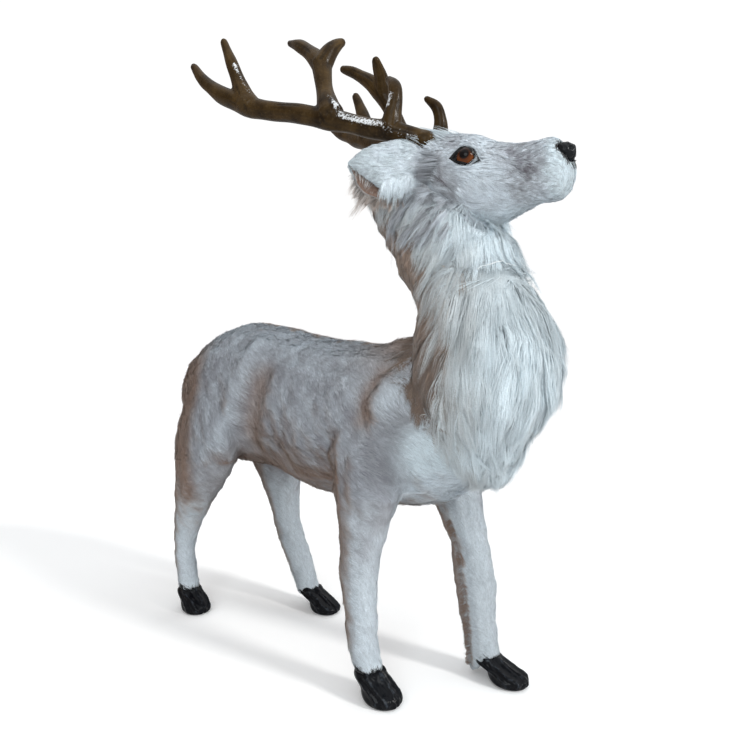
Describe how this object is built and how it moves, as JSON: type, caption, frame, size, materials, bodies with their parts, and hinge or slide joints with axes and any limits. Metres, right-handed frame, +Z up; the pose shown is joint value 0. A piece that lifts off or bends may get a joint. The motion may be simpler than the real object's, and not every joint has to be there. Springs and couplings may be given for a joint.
{
  "type": "standing reindeer figure",
  "caption": "Standing reindeer decoration covered in grey and white fur over a foam body, with a long white chest ruff, cast brown antlers, glass eyes and black cloven hooves.",
  "frame": {"origin": "on the floor, under the middle of the whole figure's box", "axes": "+Z up, the deer faces -Y, and its left side is +X"},
  "size_m": [0.2068, 0.5062, 0.6085],
  "materials": {
    "fur": "short plush fur, grey and white",
    "long_fur": "long combed white fur",
    "foam": "rigid foam",
    "steel": "drawn wire",
    "hoof": "glossy black resin",
    "antler": "grooved dark brown resin with white dry-brushed ridges",
    "eye": "amber glass eye with a black pupil",
    "rim": "black lid rim",
    "nose": "black, wet gloss",
    "lining": "bare hide",
    "socket": "moulded plastic"
  },
  "bodies": {
    "figure": {"antler_socket_left": "socket", "antler_socket_right": "socket", "chest_ruff_lower": "long_fur", "ear_left": "long_fur", "ear_lining_left": "lining", "ear_lining_right": "lining", "ear_right": "long_fur", "eye_left": "eye", "eye_right": "eye", "eye_rim_left": "rim", "eye_rim_right": "rim", "head_core": "foam", "head_fur": "fur", "hoof_front_left": "hoof", "hoof_front_right": "hoof", "hoof_rear_left": "hoof", "hoof_rear_right": "hoof", "leg_core_front_left": "foam", "leg_core_front_right": "foam", "leg_core_rear_left": "foam", "leg_core_rear_right": "foam", "leg_fur_front_left": "fur", "leg_fur_front_right": "fur", "leg_fur_rear_left": "fur", "leg_fur_rear_right": "fur", "leg_rod_front_left": "steel", "leg_rod_front_right": "steel", "leg_rod_rear_left": "steel", "leg_rod_rear_right": "steel", "neck_core": "foam", "neck_rod": "steel", "neck_ruff_upper": "long_fur", "nose": "nose", "tail": "long_fur", "torso_core": "foam", "torso_fur": "fur"},
    "antler_left_body": {"antler_left": "antler"},
    "antler_right_body": {"antler_right": "antler"}
  },
  "joints": [
    {"name": "antler_left_pull", "type": "slide", "parent": "figure", "child": "antler_left_body", "axis": [0.2196, 0.499, 0.8383], "range_m": [0, 0.022]},
    {"name": "antler_right_pull", "type": "slide", "parent": "figure", "child": "antler_right_body", "axis": [-0.2196, 0.499, 0.8383], "range_m": [0, 0.022]}
  ]
}
